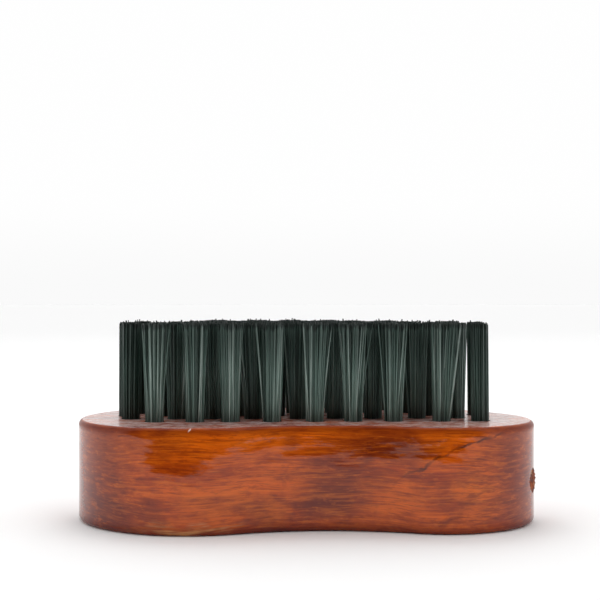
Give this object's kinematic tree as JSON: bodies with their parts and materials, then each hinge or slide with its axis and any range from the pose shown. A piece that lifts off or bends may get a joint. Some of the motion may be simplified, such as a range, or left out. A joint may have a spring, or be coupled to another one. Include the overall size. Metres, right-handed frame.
{
  "type": "beard brush",
  "caption": "Palm-held beard brush: bean-shaped lacquered wooden block with a finger notch and staggered tufts of straight dark bristles.",
  "frame": {"origin": "under the middle of the block, on its flat back, which is the face it rests on", "axes": "+X along the block towards its narrow lobe, -Y towards the side with the finger notch, +Z from the back to the bristle tips"},
  "size_m": [0.1, 0.06, 0.043],
  "materials": {
    "lacquered_wood": "orange-brown stain under thick gloss lacquer",
    "bristle": "straight dark grey-green fibres, satin",
    "black_enamel": "black sparkling enamel, engraved fill"
  },
  "bodies": {
    "root": {"emblem_lozenge": "black_enamel", "emblem_ring": "black_enamel", "tuft_row1_01": "bristle", "tuft_row1_02": "bristle", "tuft_row1_03": "bristle", "tuft_row1_04": "bristle", "tuft_row1_05": "bristle", "tuft_row1_06": "bristle", "tuft_row1_07": "bristle", "tuft_row1_08": "bristle", "tuft_row1_09": "bristle", "tuft_row2_01": "bristle", "tuft_row2_02": "bristle", "tuft_row2_03": "bristle", "tuft_row2_04": "bristle", "tuft_row2_05": "bristle", "tuft_row2_06": "bristle", "tuft_row2_07": "bristle", "tuft_row2_08": "bristle", "tuft_row2_09": "bristle", "tuft_row3_01": "bristle", "tuft_row3_02": "bristle", "tuft_row3_03": "bristle", "tuft_row3_04": "bristle", "tuft_row3_05": "bristle", "tuft_row3_06": "bristle", "tuft_row3_07": "bristle", "tuft_row3_08": "bristle", "tuft_row3_09": "bristle", "tuft_row3_10": "bristle", "tuft_row4_01": "bristle", "tuft_row4_02": "bristle", "tuft_row4_03": "bristle", "tuft_row4_04": "bristle", "tuft_row4_05": "bristle", "tuft_row4_06": "bristle", "tuft_row4_07": "bristle", "tuft_row4_08": "bristle", "tuft_row4_09": "bristle", "tuft_row5_01": "bristle", "tuft_row5_02": "bristle", "tuft_row5_03": "bristle", "tuft_row5_04": "bristle", "tuft_row5_05": "bristle", "tuft_row5_06": "bristle", "tuft_row6_01": "bristle", "tuft_row6_02": "bristle", "tuft_row6_03": "bristle", "tuft_row6_04": "bristle", "wooden_block": "lacquered_wood"}
  },
  "joints": []
}
